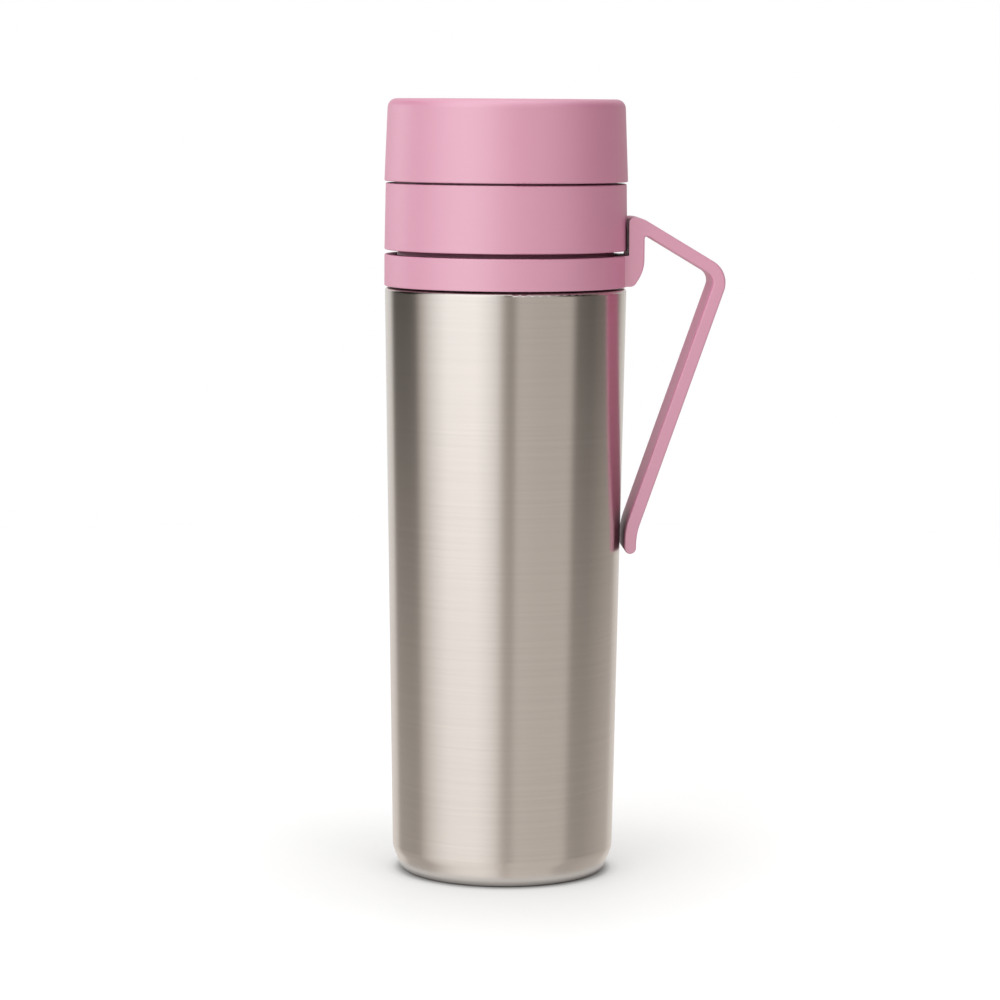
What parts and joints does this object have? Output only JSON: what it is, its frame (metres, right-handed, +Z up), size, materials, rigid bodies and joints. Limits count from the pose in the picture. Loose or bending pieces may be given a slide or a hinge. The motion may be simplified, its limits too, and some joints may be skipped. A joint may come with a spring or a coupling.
{
  "type": "insulated drinking bottle",
  "caption": "Double-wall steel bottle with a tapered body, screw lid, drinking spout under a top cap, and a carry collar with an open angular handle.",
  "frame": {"origin": "middle of the foot ring, on the surface that the bottle stands on", "axes": "+Z up along the bottle's axis, +X from the axis towards the handle, +Y across the handle strap"},
  "size_m": [0.1021, 0.0732, 0.234],
  "materials": {
    "brushed_shell": "fine brushed",
    "polished_liner": "satin, electropolished",
    "base_steel": "satin",
    "foil": "bright copper foil",
    "getter_pellet": "matt sintered",
    "spring_strip": "rolled",
    "solder_bead": "smooth glass solder",
    "pink_moulding": "fine satin mould texture",
    "pink_inner": "satin",
    "silicone": "satin translucent",
    "strainer_plastic": "satin",
    "strainer_steel": "bright perforated sheet",
    "foam": "expanded foam"
  },
  "bodies": {
    "flask": {"outer_shell": "brushed_shell", "inner_liner": "polished_liner", "radiation_foil": "foil", "getter": "getter_pellet", "getter_clip": "spring_strip", "base_plate": "polished_liner", "vacuum_seal": "solder_bead", "base_cover": "base_steel", "collar_clip": "spring_strip"},
    "collar": {"carry_collar": "pink_moulding"},
    "lid_ring": {"lid_seal": "silicone"},
    "lid": {"lid_shell": "pink_moulding", "drinking_spout": "pink_inner", "neck_plug": "pink_inner", "lid_insert": "pink_inner"},
    "strainer": {"strainer_rim": "strainer_plastic", "strainer_cup": "strainer_steel"},
    "cap_ring": {"cap_seal": "silicone"},
    "cap": {"cap_shell": "pink_moulding", "cap_insert": "pink_inner", "cap_plug": "pink_inner", "cap_plate": "strainer_steel", "cap_foam": "foam"}
  },
  "joints": [
    {"name": "collar_swivel", "type": "hinge", "parent": "flask", "child": "collar", "pos_m": [0, 0, 0], "axis": [0, 0, 1], "continuous": true},
    {"name": "lid_lift", "type": "slide", "parent": "flask", "child": "lid_ring", "axis": [0, 0, 1], "range_m": [0, 0.016]},
    {"name": "lid_turn", "type": "hinge", "parent": "lid_ring", "child": "lid", "pos_m": [0, 0, 0], "axis": [0, 0, 1], "range_deg": [0, 720]},
    {"name": "strainer_pull", "type": "slide", "parent": "lid", "child": "strainer", "axis": [0, 0, -1], "range_m": [0, 0.012]},
    {"name": "cap_lift", "type": "slide", "parent": "lid", "child": "cap_ring", "axis": [0, 0, 1], "range_m": [0, 0.016]},
    {"name": "cap_turn", "type": "hinge", "parent": "cap_ring", "child": "cap", "pos_m": [0, 0, 0], "axis": [0, 0, 1], "range_deg": [0, 720]}
  ],
  "couplings": [
    {"joint": "lid_lift", "follows": "lid_turn", "m_per_rad": 0.0012732},
    {"joint": "cap_lift", "follows": "cap_turn", "m_per_rad": 0.0012732}
  ]
}
